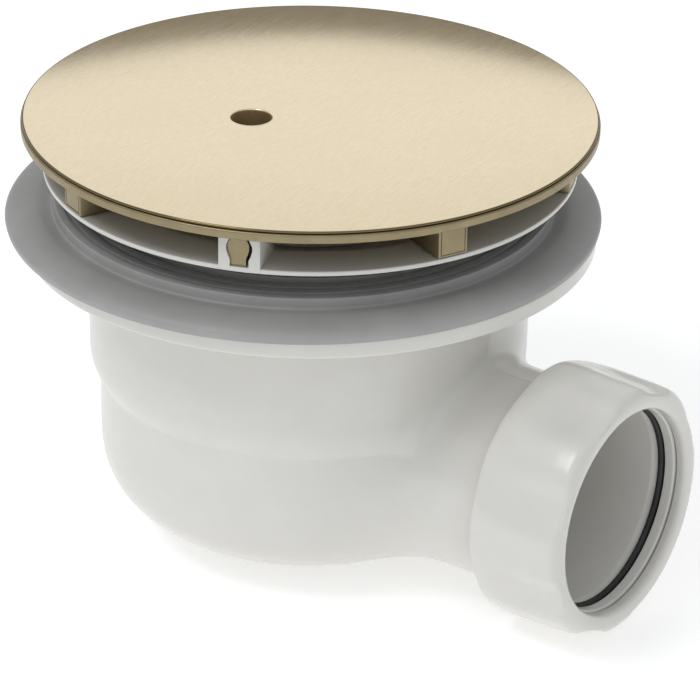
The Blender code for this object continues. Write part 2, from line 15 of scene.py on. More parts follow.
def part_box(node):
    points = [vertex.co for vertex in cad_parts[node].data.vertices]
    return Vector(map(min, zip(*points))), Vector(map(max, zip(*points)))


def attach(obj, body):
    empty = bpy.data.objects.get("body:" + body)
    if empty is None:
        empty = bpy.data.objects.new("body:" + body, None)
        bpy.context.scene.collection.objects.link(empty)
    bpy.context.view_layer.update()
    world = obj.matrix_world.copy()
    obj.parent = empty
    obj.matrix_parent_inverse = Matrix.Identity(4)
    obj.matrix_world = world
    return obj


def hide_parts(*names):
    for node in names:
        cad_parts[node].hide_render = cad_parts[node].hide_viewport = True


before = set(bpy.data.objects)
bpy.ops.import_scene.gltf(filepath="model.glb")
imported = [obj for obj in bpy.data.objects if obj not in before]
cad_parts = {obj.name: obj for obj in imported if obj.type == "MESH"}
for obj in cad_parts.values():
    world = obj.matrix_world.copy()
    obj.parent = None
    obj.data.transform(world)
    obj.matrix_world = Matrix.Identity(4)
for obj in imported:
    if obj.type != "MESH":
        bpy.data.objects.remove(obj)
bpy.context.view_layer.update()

MM = 0.001

# How finely round pieces are divided
LARGE_STEPS = 240
SMALL_STEPS = 160
TINY_STEPS = 48
CORNER_STEPS = 4


def top_of(node):
    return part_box(node)[1].z / MM


def foot_of(node):
    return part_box(node)[0].z / MM


def radius_of(node):
    """Half the width across Y, where every turned piece is centred."""
    low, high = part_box(node)
    return (high.y - low.y) / 2 / MM


# Cover plate and its carrier
COVER_R = radius_of("cover_carrier")
COVER_EDGE_Z = 11.0
COVER_DOME = top_of("cover_plate") - COVER_EDGE_Z
COVER_DOME_POWER = 3.3
PLATE_R = radius_of("cover_plate")
PLATE_T = 0.5
PLATE_GAP = 0.12
CARRIER_T = 1.73
FIT_GAP = 0.3
LIFT_HOLE_R = 4.0
LIFT_HOLE_REACH = 13.0
LIFT_HOLE_DEG = -117.1
LIFT_COLLAR_FOOT_Z = foot_of("cover_plate")
LIFT_RIM_ROUND = 0.3
LIFT_BOSS_WALL = 1.3
LIFT_BOSS_FOOT_Z = 3.6

# Supports under the cover
STATIONS = 8
FIRST_CLIP_DEG = -67.5
SUPPORT_FACE_R = 53.2
LEG_WIDTH = 6.4
LEG_INNER_R = 41.0
LEG_BORDER = 0.4
LEG_BORDER_GROOVE = 0.25
LEG_GROOVE_DEPTH = 0.15
RIB_WIDTH = 2.0
BAND_SEAM_DEG = -63.4
RIB_INNER_R = 3.0
RIB_DEPTH = 2.2
CLIP_T = 1.8
CLIP_INSET = 0.5
CLIP_FOOT_GAP = 0.15
CLIP_OFFSET = 0.3  # the tab sits a little to one side in its slot
CLIP_HALF = {"top_half": 1.55, "waist_half": 1.55, "bulge_half": 2.1, "foot_half": 1.5}
SLOT_HALF = {"top_half": 2.25, "waist_half": 2.0, "bulge_half": 2.55, "foot_half": 1.85}
SLOT_SILL = 0.05
SOCKET_WIDTH = 8.2
SOCKET_DEPTH = 10.5
SOCKET_TOP_Z = top_of("top_flange")

# Top flange, its seal and the gasket under the tray
LIP_R = radius_of("top_flange")
LIP_T = 1.0
DISH_FALL = 0.35
PILOT_R = 44.2
PILOT_DEPTH = 2.5
THROAT_R = 40.4
THROAT_BORE_R = 37.6
THROAT_FOOT_Z = foot_of("top_flange")
SEAT_BORE_R = 39.6
SEAT_Z = -9.0
FLANGE_PITCH = 4.0
FLANGE_THREAD_TURNS = 2.5
GASKET_BORE_R = 43.3
GASKET_RIB_Z = top_of("body_gasket")
GASKET_FOOT_Z = foot_of("body_gasket")
GASKET_RIBS = 3
GASKET_RIB_PITCH = 2.45
GASKET_LAST_RIB_R = 49.9
GASKET_GROOVE = 0.75
GASKET_GROOVE_DEPTH = 0.6
GASKET_STEP_Z = -8.1
GASKET_CREST_R = 53.0
GASKET_CREST_Z = -7.6
GASKET_R = radius_of("body_gasket")
GASKET_BULGE_Z = -9.9

# Trap body
WALL = 2.5
BODY_FLANGE_R = radius_of("trap_body")
BODY_FLANGE_T = 3.8
BODY_TOP_Z = top_of("trap_body")
BODY_UPPER_R = 44.4
BODY_LOWER_R = 42.3
SHOULDER_TOP_Z = -38.2
SHOULDER_ROUND = 11.0
SHOULDER_DEG = 29.0
CREASE_Z = -44.8
BOWL_TOP_Z = -56.0
BOWL_FOOT_Z = foot_of("trap_body")
BOWL_FLAT_R = 14.3
BOWL_POWER = 2.5
FLANGE_THREAD_BORE_R = 42.0

# Outlet, along its axis from the main axis
OUTLET_Z = -53.3
NECK_R = 21.25
NECK_ROOT_R = 21.6
NECK_ROOT_L = 34.0
NECK_L = 56.0
SPIGOT_R = 22.2
SPIGOT_L = 59.5
SPIGOT_END_L = 71.7
WATERWAY_R = 18.2
PIPE_SOCKET_R = 20.3
PIPE_STOP_L = 53.0
OUTLET_PITCH = 3.0
BLEND_TOP = 4.0
BLEND_SIDE = 8.0
BLEND_FOOT = 5.0
SEAM_WIDTH = 0.5
SEAM_PROUD = 0.2

# Compression nut
NUT_BACK_L = 58.0
NUT_FACE_L = 78.2
NUT_R = 25.6
NUT_LOBES = 8
NUT_LOBE = 0.65
NUT_GROOVE_BACK = 0.35
NUT_GROOVE_FRONT = 1.45
NUT_BORE_R = 23.3
NUT_MOUTH_R = 21.0
NUT_LIP_L = 75.9
WASHER_R = 23.0
WASHER_BORE_R = 20.6
WASHER_BACK_L = 73.4
SEAL_BORE_R = 20.1

# Removable inner pieces
DIP_RIM_R = radius_of("dip_tube")
DIP_RIM_TOP_Z = top_of("dip_tube")
DIP_PLATE_T = 1.8
DIP_BORE_R = 19.6
DIP_WALL = 1.5
DIP_FOOT_Z = foot_of("dip_tube")
ORING_R = 38.45
ORING_CORD_R = 0.85
ORING_Z = -6.75
ORING_GROOVE_R = 37.3
ORING_GROOVE = 2.3
CUP_R = 33.0
CUP_WALL = 1.8
CUP_RIM_Z = top_of("siphon_cup")
CUP_FOOT_Z = -72.0
CUP_ROUND = 14.0
CUP_FEET = 3
CUP_FOOT_R = 2.2
CUP_FOOT_REACH = 13.0
STRAINER_RIM_R = radius_of("hair_strainer")
STRAINER_R = 19.2
STRAINER_WALL = 1.2
STRAINER_FOOT_Z = foot_of("hair_strainer")
STRAINER_SLOTS = 12
STRAINER_SLOT = 2.4
STRAINER_KNOB_R = 3.2
STRAINER_KNOB_Z = -0.5
STRAINER_STEM_R = 1.6


# ---------------------------------------------------------------- shape helpers


def arc(centre_r, centre_z, radius, start_deg, end_deg, steps=8):
    """Points of a circular arc in the (radius, height) plane."""
    angles = np.radians(np.linspace(start_deg, end_deg, steps + 1))
    return [(centre_r + radius * math.cos(a), centre_z + radius * math.sin(a)) for a in angles]


def rounded(corners, closed=True):
    """A profile from (radius, height) corners; a third number in a corner is its rounding."""
    points = []
    count = len(corners)
    for index, corner in enumerate(corners):
        here = np.array(corner[:2], float)
        if len(corner) < 3:
            points.append(here)
            continue
        before = np.array(corners[index - 1][:2], float) - here
        after = np.array(corners[(index + 1) % count][:2], float) - here
        reach_before = min(corner[2], np.linalg.norm(before) * 0.48)
        reach_after = min(corner[2], np.linalg.norm(after) * 0.48)
        start = here + before / np.linalg.norm(before) * reach_before
        end = here + after / np.linalg.norm(after) * reach_after
        for t in np.linspace(0, 1, CORNER_STEPS + 1):
            points.append((1 - t) ** 2 * start + 2 * t * (1 - t) * here + t * t * end)
    return points


def divided(points, spacing, closed=False):
    """A profile with points added so that none are further apart than the spacing."""
    points = [np.array(point, float) for point in points]
    following = points[1:] + points[:1] if closed else points[1:]
    result = []
    for here, there in zip(points, following):
        count = max(1, math.ceil(np.linalg.norm(there - here) / spacing))
        result += [here + (there - here) * step / count for step in range(count)]
    if not closed:
        result.append(points[-1])
    return result


def mesh_object(name, verts, faces, smooth_deg=None):
    """An object from vertices in millimetres, welded, with its faces outwards and smooth."""
    mesh = bpy.data.meshes.new(name)
    mesh.from_pydata((np.asarray(verts, float) * MM).tolist(), [], faces)
    edit = bmesh.new()
    edit.from_mesh(mesh)
    bmesh.ops.remove_doubles(edit, verts=edit.verts, dist=0.0002 * MM)
    bmesh.ops.recalc_face_normals(edit, faces=edit.faces)
    edit.to_mesh(mesh)
    edit.free()
    obj = bpy.data.objects.new(name, mesh)
    bpy.context.scene.collection.objects.link(obj)
    shade(obj, smooth_deg)
    return obj


def shade(obj, smooth_deg=None):
    obj.data.shade_smooth()
    if smooth_deg:
        obj.data.set_sharp_from_angle(angle=math.radians(smooth_deg))


def loft(name, rings, closed=False, smooth_deg=None):
    """A skin over rings of equally many points; closed joins the last ring to the first."""
    rings = np.asarray(rings, float)
    count, steps = rings.shape[:2]
    rows = np.arange(count if closed else count - 1)[:, None]
    columns = np.arange(steps)[None, :]
    beside = (columns + 1) % steps
    below = (rows + 1) % count
    quads = np.stack(
        [rows * steps + columns, rows * steps + beside, below * steps + beside, below * steps + columns],
        axis=-1,
    )
    return mesh_object(name, rings.reshape(-1, 3), quads.reshape(-1, 4).tolist(), smooth_deg)


def turned(name, profile, steps=LARGE_STEPS, closed=True, swell=None, smooth_deg=None):
    """Turns a (radius, height) profile about Z; swell(radius, height, angle) reshapes its radii."""
    profile = np.asarray([tuple(point) for point in profile], float)
    angles = np.arange(steps) * math.tau / steps
    radius, angle = np.meshgrid(profile[:, 0], angles, indexing="ij")
    height = np.repeat(profile[:, 1][:, None], steps, axis=1)
    if swell:
        radius = swell(radius, height, angle)
    rings = np.stack([radius * np.cos(angle), radius * np.sin(angle), height], axis=-1)
    return loft(name, rings, closed, smooth_deg)


def block(name, low, high, rounding=0.0):
    """A box between two corners, its edges rounded."""
    edit = bmesh.new()
    bmesh.ops.create_cube(edit, size=1.0)
    centre = [(a + b) / 2 * MM for a, b in zip(low, high)]
    size = [(b - a) * MM for a, b in zip(low, high)]
    edit.transform(Matrix.Translation(centre) @ Matrix.Diagonal((*size, 1)))
    if rounding:
        bmesh.ops.bevel(edit, geom=edit.edges, offset=rounding * MM, segments=2, affect="EDGES", profile=0.5)
    return edit_object(name, edit)


def edit_object(name, edit):
    """An object from a bmesh in metres, which this frees."""
    bmesh.ops.recalc_face_normals(edit, faces=edit.faces)
    mesh = bpy.data.meshes.new(name)
    edit.to_mesh(mesh)
    edit.free()
    obj = bpy.data.objects.new(name, mesh)
    bpy.context.scene.collection.objects.link(obj)
    return obj


def rod(name, radius, low_z, high_z, steps=TINY_STEPS, rounding=0.0):
    """An upright cylinder on Z."""
    corners = [(0, high_z), (radius, high_z, rounding), (radius, low_z, rounding), (0, low_z)]
    return turned(name, rounded(corners, closed=False), steps, closed=False)


def plank(name, outline, low_x, high_x):
    """A closed (y, z) outline pushed along X from low_x to high_x."""
    rings = [[(x, y, z) for y, z in outline] for x in (low_x, high_x)]
    count = len(outline)
    verts = np.array(rings).reshape(-1, 3)
    faces = [[i, (i + 1) % count, count + (i + 1) % count, count + i] for i in range(count)]
    faces += [list(range(count)), list(range(count, 2 * count))[::-1]]
    return mesh_object(name, verts, faces)


def turn(obj, degrees):
    obj.data.transform(Matrix.Rotation(math.radians(degrees), 4, "Z"))
    return obj


def shift(obj, x, y, z=0.0):
    obj.data.transform(Matrix.Translation((x * MM, y * MM, z * MM)))
    return obj


def lay_on_outlet(obj):
    """Lays a piece drawn upright along the outlet's axis."""
    obj.data.transform(Matrix.Translation((0, 0, OUTLET_Z * MM)) @ Matrix.Rotation(math.pi / 2, 4, "Y"))
    return obj


def joined(name, objects):
    """One object holding the meshes of several, which are used up."""
    edit = bmesh.new()
    for obj in objects:
        edit.from_mesh(obj.data)
        bpy.data.objects.remove(obj, do_unlink=True)
    return edit_object(name, edit)


def combine(target, tools, operation, solver="MANIFOLD"):
    """Boolean of an object with others, kept in the first; the others are used up."""
    for tool in tools:
        modifier = target.modifiers.new("combine", "BOOLEAN")
        modifier.operation = operation
        modifier.solver = solver
        modifier.object = tool
        bpy.context.view_layer.update()
        evaluated = target.evaluated_get(bpy.context.evaluated_depsgraph_get())
        mesh = bpy.data.meshes.new_from_object(evaluated)
        target.modifiers.remove(modifier)
        target.data = mesh
        bpy.data.objects.remove(tool, do_unlink=True)
    return target


def smooth_step(values, low, high):
    """0 below low, 1 above high, and a soft rise between them."""
    share = np.clip((values - low) / (high - low), 0, 1)
    return share * share * (3 - 2 * share)


def show(obj, node, body, material):
    """Puts a finished piece in place of its CAD node."""
    obj.data.materials.clear()
    obj.data.materials.append(material)
    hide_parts(node)
    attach(obj, body)
    return obj


# ---------------------------------------------------------------- cover


def station_angles():
    """The eight support directions and whether each holds a clip."""
    for index in range(STATIONS):
        yield FIRST_CLIP_DEG + index * 360 / STATIONS, index % (STATIONS // 2) == 0


def dome_z(radius, drop=0.0):
    """Height of the cover's dome at a radius, a drop below its top face."""
    return COVER_EDGE_Z + COVER_DOME * (1 - (radius / COVER_R) ** COVER_DOME_POWER) - drop


def lift_hole_centre():
    angle = math.radians(LIFT_HOLE_DEG)
    return np.array([LIFT_HOLE_REACH * math.cos(angle), LIFT_HOLE_REACH * math.sin(angle)])


def make_cover_plate():
    """The domed plate as rings that pass from the lift hole's rim to the outer edge."""
    hole = lift_hole_centre()
    angles = np.arange(LARGE_STEPS) * math.tau / LARGE_STEPS
    circle = np.stack([np.cos(angles), np.sin(angles)], axis=-1)

    def ring(share, radius, height):
        """A ring whose centre moves from the hole's (share 0) to the plate's (share 1)."""
        flat = hole * (1 - share) + circle * radius
        return np.column_stack([flat, height(np.hypot(flat[:, 0], flat[:, 1]))])

    edge = PLATE_T / 2
    rim_foot_z = dome_z(LIFT_HOLE_REACH, LIFT_RIM_ROUND)
    rings = []
    for z in np.linspace(LIFT_COLLAR_FOOT_Z + 0.2, rim_foot_z, 10):
        rings.append(ring(0, LIFT_HOLE_R, lambda r, z=z: z + 0 * r))
    for phi in np.radians(np.linspace(10, 90, 8)):
        inward = LIFT_RIM_ROUND * (1 - math.cos(phi))
        drop = LIFT_RIM_ROUND * (1 - math.sin(phi))
        rings.append(ring(0, LIFT_HOLE_R + inward, lambda r, drop=drop: dome_z(r, drop)))
    inner, outer = LIFT_HOLE_R + LIFT_RIM_ROUND, PLATE_R - edge
    shares = np.sin(np.linspace(0, math.pi / 2, 60))
    rings += [ring(s, inner + (outer - inner) * s, dome_z) for s in shares[1:-1]]
    for phi in np.radians(np.linspace(90, -90, 9)):
        reach, drop = edge * math.cos(phi), edge * (1 - math.sin(phi))
        rings.append(ring(1, outer + reach, lambda r, drop=drop: dome_z(outer, drop) + 0 * r))
    collar_r = LIFT_HOLE_R + PLATE_T
    for s in shares[::-6]:
        rings.append(ring(s, collar_r + (outer - collar_r) * s, lambda r: dome_z(r, PLATE_T)))
    for z in (dome_z(LIFT_HOLE_REACH, PLATE_T + 0.3), LIFT_COLLAR_FOOT_Z + 0.2):
        rings.append(ring(0, collar_r, lambda r, z=z: z + 0 * r))
    for inset in (0.2, PLATE_T - 0.2):
        rings.append(ring(0, collar_r - inset, lambda r: LIFT_COLLAR_FOOT_Z + 0 * r))
    return loft("brushed_cover_plate", rings, closed=True, smooth_deg=50)


def carrier_leg(angle):
    """A support block whose outer face has a fine groove round its border."""
    top_z = dome_z(SUPPORT_FACE_R, PLATE_T + PLATE_GAP + 0.4)
    low = (LEG_INNER_R, -LEG_WIDTH / 2, LIP_T + 0.3)
    leg = block("leg", low, (SUPPORT_FACE_R, LEG_WIDTH / 2, top_z))
    edit = bmesh.new()
    edit.from_mesh(leg.data)
    bpy.data.objects.remove(leg, do_unlink=True)
    upright = [e for e in edit.edges if abs((e.verts[0].co - e.verts[1].co).z) > 1 * MM]
    bmesh.ops.bevel(edit, geom=upright, offset=0.15 * MM, segments=2, affect="EDGES", profile=0.5)
    face = max(edit.faces, key=lambda f: f.calc_center_median().x * (f.normal.x > 0.9))
    for depth, thickness in ((0, LEG_BORDER), (-LEG_GROOVE_DEPTH, 0.06), (0, LEG_BORDER_GROOVE)):
        bmesh.ops.inset_region(edit, faces=[face], thickness=thickness * MM, depth=depth * MM)
    bmesh.ops.inset_region(edit, faces=[face], thickness=0.06 * MM, depth=LEG_GROOVE_DEPTH * MM)
    return turn(edit_object("leg", edit), angle)


def keyhole_outline(top_half, waist_half, bulge_half, foot_half, foot_z, top_z):
    """A (y, z) outline, wider half-way up, of a clip or of the slot that it snaps into."""
    height = top_z - foot_z
    stations = [
        (0.0, foot_half),
        (0.22, foot_half),
        (0.36, bulge_half - 0.35 * (bulge_half - foot_half)),
        (0.5, bulge_half),
        (0.64, bulge_half),
        (0.8, waist_half),
        (1.0, top_half),
    ]
    fine = np.linspace(0, 1, 25)
    half = np.interp(fine, [s for s, _ in stations], [h for _, h in stations])
    right = [(h, foot_z + height * s) for s, h in zip(fine, half)]
    return right + [(-y, z) for y, z in reversed(right)]


def carrier_clip(angle):
    foot_z = LIP_T + CLIP_FOOT_GAP
    top_z = dome_z(SUPPORT_FACE_R, PLATE_T + PLATE_GAP + 0.4)
    face_x = SUPPORT_FACE_R - CLIP_INSET
    outline = keyhole_outline(foot_z=foot_z, top_z=SOCKET_TOP_Z, **CLIP_HALF)
    outline = [(y - CLIP_OFFSET, z) for y, z in outline]
    tab = plank("clip", outline, face_x - CLIP_T, face_x)
    stem_half = CLIP_HALF["top_half"]
    stem_low = (face_x - CLIP_T, -CLIP_OFFSET - stem_half, SOCKET_TOP_Z - 0.3)
    stem = block("stem", stem_low, (face_x, -CLIP_OFFSET + stem_half, top_z))
    return [turn(tab, angle), turn(stem, angle)]


def make_cover_carrier():
    top_drop = PLATE_T + PLATE_GAP
    band_foot = dome_z(COVER_R, top_drop + CARRIER_T)
    radii = np.sin(np.linspace(0, math.pi / 2, 24)) * (COVER_R - 0.9)
    profile = [(r, dome_z(r, top_drop)) for r in radii]
    edge = [
        (COVER_R - 0.9, dome_z(COVER_R - 0.9, top_drop)),
        (COVER_R, dome_z(COVER_R, top_drop), 0.35),
        (COVER_R, band_foot, 0.25),
        (COVER_R - 2.0, band_foot, 0.25),
        (COVER_R - 2.3, dome_z(COVER_R, top_drop + CARRIER_T - 0.45)),
    ]
    profile += rounded(edge, closed=False)[1:]
    under = np.linspace(COVER_R - 2.6, 0, 16)
    profile += [(r, dome_z(r, top_drop + CARRIER_T - 0.2)) for r in under]
    carrier = turned("brass_cover_carrier", profile, LARGE_STEPS, closed=False)
    tools = []
    rib_foot = dome_z(COVER_R, top_drop + CARRIER_T) - RIB_DEPTH
    rib_top = dome_z(LEG_INNER_R, top_drop + 0.4)
    for angle, is_clip in station_angles():
        rib = block(
            "rib",
            (RIB_INNER_R, -RIB_WIDTH / 2, rib_foot),
            (SUPPORT_FACE_R - SOCKET_DEPTH - 1, RIB_WIDTH / 2, rib_top),
            0.2,
        )
        tools.append(turn(rib, angle))
        tools += carrier_clip(angle) if is_clip else [carrier_leg(angle)]
    bore = LIFT_HOLE_R + PLATE_T + PLATE_GAP
    hole = lift_hole_centre()
    seam = block("seam", (COVER_R - 0.12, -0.09, 0), (COVER_R + 1, 0.09, 20))
    combine(carrier, [turn(seam, BAND_SEAM_DEG)], "DIFFERENCE")
    boss_top = dome_z(LIFT_HOLE_REACH, top_drop + CARRIER_T / 2)
    boss = rod("boss", bore + LIFT_BOSS_WALL, LIFT_BOSS_FOOT_Z, boss_top, rounding=0.25)
    tools.append(shift(boss, *hole))
    combine(carrier, tools, "UNION")
    combine(carrier, [shift(rod("bore", bore, 0, 20), *hole)], "DIFFERENCE")
    shade(carrier, 35)
    return carrier


# ---------------------------------------------------------------- top flange and seals


def thread_swell(root_r, crest_r, pitch, start_z, end_z, reach=0.6):
    """A swell that winds a rounded trapezoid thread on a wall of radius root_r."""

    def swell(radius, height, angle):
        phase = (height - start_z - pitch * angle / math.tau) / pitch
        ridge = 1 - smooth_step(np.abs((phase % 1) - 0.5), 0.14, 0.36)
        ends = smooth_step(height, start_z, start_z + 1.5) * (1 - smooth_step(height, end_z - 1.5, end_z))
        on_wall = np.abs(radius - root_r) < reach
        return radius + on_wall * ridge * ends * (crest_r - root_r)

    return swell


def clip_socket(angle):
    """A block on the dish with a keyhole slot, open in front and on top."""
    half = SOCKET_WIDTH / 2
    inner = SUPPORT_FACE_R - SOCKET_DEPTH
    body = block("socket", (inner, -half, LIP_T - 0.8), (SUPPORT_FACE_R, half, SOCKET_TOP_Z), 0.18)
    outline = keyhole_outline(foot_z=LIP_T + SLOT_SILL, top_z=SOCKET_TOP_Z, **SLOT_HALF)
    outline = [(y, z + (0.8 if z > SOCKET_TOP_Z - 0.2 else 0)) for y, z in outline]
    slot = plank("slot", outline, inner + 2.0, SUPPORT_FACE_R + 1)
    return turn(combine(body, [slot], "DIFFERENCE"), angle)


def make_top_flange():
    dish_z = LIP_T - DISH_FALL
    round_r = PILOT_R - SEAT_BORE_R
    corners = [
        (LIP_R, 0, 0.25),
        (LIP_R, LIP_T, 0.3),
        (LIP_R - 1.3, LIP_T - 0.05, 0.5),
        (PILOT_R + 4, dish_z + 0.1),
    ]
    profile = rounded(corners, closed=False)
    profile += arc(PILOT_R, dish_z - round_r, round_r, 90, 180, 12)
    throat = [
        (SEAT_BORE_R, SEAT_Z),
        (THROAT_BORE_R, SEAT_Z, 0.3),
        (THROAT_BORE_R, THROAT_FOOT_Z, 0.5),
        (THROAT_R, THROAT_FOOT_Z, 0.5),
        (THROAT_R, SEAT_Z - 0.8, 0.3),
        (THROAT_R + 1.2, SEAT_Z, 0.2),
        (THROAT_R + 1.2, -PILOT_DEPTH - 2, 0.2),
        (PILOT_R, -PILOT_DEPTH, 0.3),
        (PILOT_R, 0),
    ]
    profile += rounded(throat, closed=False)
    thread_end = THROAT_FOOT_Z + 0.8 + FLANGE_PITCH * (FLANGE_THREAD_TURNS + 0.6)
    swell = thread_swell(THROAT_R, THROAT_R + 1.0, FLANGE_PITCH, THROAT_FOOT_Z + 0.6, thread_end, 0.02)
    flange = turned("white_top_flange", divided(profile, 0.5, closed=True), LARGE_STEPS, swell=swell)
    combine(flange, [clip_socket(angle) for angle, is_clip in station_angles() if is_clip], "UNION")
    shade(flange, 35)
    return flange


def make_flange_seal():
    low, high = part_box("flange_seal")
    bore, outer = PILOT_R + FIT_GAP, radius_of("flange_seal")
    foot, top = low.z / MM, high.z / MM
    corners = [(outer, foot, 0.3), (outer, top, 0.3), (bore, top, 0.3), (bore, foot, 0.3)]
    return turned("black_flange_seal", rounded(corners), LARGE_STEPS)


def make_body_gasket():
    """A raised ribbed ring, a step down from it, and a low crowned flange round both."""
    corners = [(GASKET_BORE_R, GASKET_FOOT_Z, 0.3), (GASKET_BORE_R, GASKET_RIB_Z, 0.2)]
    floor = GASKET_RIB_Z - GASKET_GROOVE_DEPTH
    for rib in reversed(range(1, GASKET_RIBS)):
        edge = GASKET_LAST_RIB_R - rib * GASKET_RIB_PITCH
        corners += [(edge, GASKET_RIB_Z, 0.12), (edge, floor, 0.05)]
        corners += [(edge + GASKET_GROOVE, floor, 0.05), (edge + GASKET_GROOVE, GASKET_RIB_Z, 0.12)]
    corners += [(GASKET_LAST_RIB_R, GASKET_RIB_Z, 0.2), (GASKET_LAST_RIB_R + 0.2, GASKET_STEP_Z, 0.5)]
    rise = GASKET_CREST_Z - GASKET_BULGE_Z
    crown = [
        (GASKET_CREST_R + (GASKET_R - GASKET_CREST_R) * math.cos(phi), GASKET_BULGE_Z + rise * math.sin(phi))
        for phi in np.radians(np.linspace(90, 0, 16))
    ]
    profile = rounded(corners + crown[:1], closed=False) + crown[1:]
    lip = [(GASKET_R, GASKET_BULGE_Z), (GASKET_R - 0.3, GASKET_FOOT_Z, 0.35), (GASKET_BORE_R, GASKET_FOOT_Z)]
    profile += rounded(lip, closed=False)[1:-1]
    gasket = turned("grey_body_gasket", divided(profile, 0.8, closed=True), LARGE_STEPS)
    low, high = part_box("body_gasket")
    return shift(gasket, (low.x + high.x) / 2 / MM, (low.y + high.y) / 2 / MM)


# ---------------------------------------------------------------- trap body


def bowl_profile(inset):
    """The bowl's section below the flange, drawn inset from the outer face by a wall."""
    upper, lower = BODY_UPPER_R - inset, BODY_LOWER_R - inset
    profile = arc(upper - SHOULDER_ROUND, SHOULDER_TOP_Z, SHOULDER_ROUND, 0, -SHOULDER_DEG, 10)
    profile.append((lower, CREASE_Z))
    for phi in np.radians(np.linspace(0, 90, 28)):
        across, down = math.cos(phi) ** (2 / BOWL_POWER), math.sin(phi) ** (2 / BOWL_POWER)
        foot = BOWL_TOP_Z - (BOWL_FOOT_Z + inset)
        profile.append((BOWL_FLAT_R + (lower - BOWL_FLAT_R) * across, BOWL_TOP_Z - foot * down))
    return profile + [(0, BOWL_FOOT_Z + inset)]


def bowl_distance(points):
    """Signed distance, good near the surface, to the bowl's outer face below the flange."""
    radius = np.hypot(points[:, 0], points[:, 1])
    height = points[:, 2]
    turn_z = SHOULDER_TOP_Z - SHOULDER_ROUND * math.sin(math.radians(SHOULDER_DEG))
    turn_r = BODY_UPPER_R - SHOULDER_ROUND * (1 - math.cos(math.radians(SHOULDER_DEG)))
    on_arc = np.clip(SHOULDER_TOP_Z - height, 0, SHOULDER_TOP_Z - turn_z)
    wall_r = BODY_UPPER_R - SHOULDER_ROUND + np.sqrt(SHOULDER_ROUND**2 - on_arc**2)
    below = np.clip((turn_z - height) / (turn_z - CREASE_Z), 0, 1)
    wall_r = wall_r + below * (BODY_LOWER_R - turn_r)
    out = np.maximum(radius - BOWL_FLAT_R, 0)
    down = np.maximum(BOWL_TOP_Z - height, 0)
    shape = (out / (BODY_LOWER_R - BOWL_FLAT_R)) ** BOWL_POWER
    shape = (shape + (down / (BOWL_TOP_Z - BOWL_FOOT_Z)) ** BOWL_POWER) ** (1 / BOWL_POWER)
    bowl = np.hypot(out, down) * (1 - 1 / np.maximum(shape, 0.01))
    return np.where(height > BOWL_TOP_Z, radius - wall_r, bowl)


def neck_radius(along):
    return np.interp(along, [NECK_ROOT_L, NECK_L], [NECK_ROOT_R, NECK_R])


def skin_distance(points):
    """Signed distance to bowl and neck together, with a fillet that is largest beside the neck."""
    bowl = bowl_distance(points)
    neck = np.hypot(points[:, 1], points[:, 2] - OUTLET_Z) - neck_radius(points[:, 0])
    lower = smooth_step(-points[:, 2], -(OUTLET_Z + NECK_R), -(OUTLET_Z - 4))
    under = smooth_step(-points[:, 2], -(OUTLET_Z - 4), -(OUTLET_Z - NECK_R + 3))
    blend = BLEND_TOP + (BLEND_SIDE - BLEND_TOP) * lower + (BLEND_FOOT - BLEND_SIDE) * under
    share = np.clip(0.5 + 0.5 * (neck - bowl) / blend, 0, 1)
    return neck + (bowl - neck) * share - blend * share * (1 - share)


def settled(points, rounds=8):
    """Points moved onto the skin along its slope."""
    points = points.copy()
    for _ in range(rounds):
        value = skin_distance(points)
        slope = np.stack(
            [
                (skin_distance(points + step) - skin_distance(points - step)) / 0.02
                for step in np.eye(3) * 0.01
            ],
            axis=-1,
        )
        steep = np.maximum((slope**2).sum(axis=1), 0.2)
        points -= (value / steep)[:, None] * slope
    return points


def mould_seam():
    """The fine step left where the mould's halves met: down the wall, then along the neck's top."""
    neck_top = OUTLET_Z + NECK_R
    wall_top = BODY_TOP_Z - BODY_FLANGE_T
    down = [(BODY_UPPER_R, 0, z) for z in np.linspace(wall_top - 2.6, neck_top + 1, 24)]
    along = [(x, 0, neck_top) for x in np.linspace(BODY_UPPER_R + 1, NUT_BACK_L + 0.5, 24)]
    path = settled(np.array(down + along, float))
    path = np.concatenate([[(BODY_UPPER_R + 0.9, 0, wall_top - 0.8)], path])
    tangent = np.gradient(path, axis=0)
    tangent /= np.linalg.norm(tangent, axis=1)[:, None]
    outward = np.cross(tangent, (0, 1, 0))
    outward *= np.sign(outward @ np.array([1.0, 0, 1.0]))[:, None]
    section = [(-0.9, -0.5), (-0.75, 0.02), (-0.35, SEAM_PROUD), (0.0, SEAM_PROUD), (0.12, 0.0), (0.12, -0.5)]
    rings = [path + outward * up + np.array((0, 1.0, 0)) * across * SEAM_WIDTH for across, up in section]
    rings = np.array(rings).transpose(1, 0, 2)
    count, steps = rings.shape[:2]
    faces = []
    for row in range(count - 1):
        for column in range(steps):
            beside = (column + 1) % steps
            low = row * steps
            faces.append([low + column, low + beside, low + steps + beside, low + steps + column])
    faces += [list(range(steps)), list(range((count - 1) * steps, count * steps))]
    return mesh_object("seam", rings.reshape(-1, 3), faces)


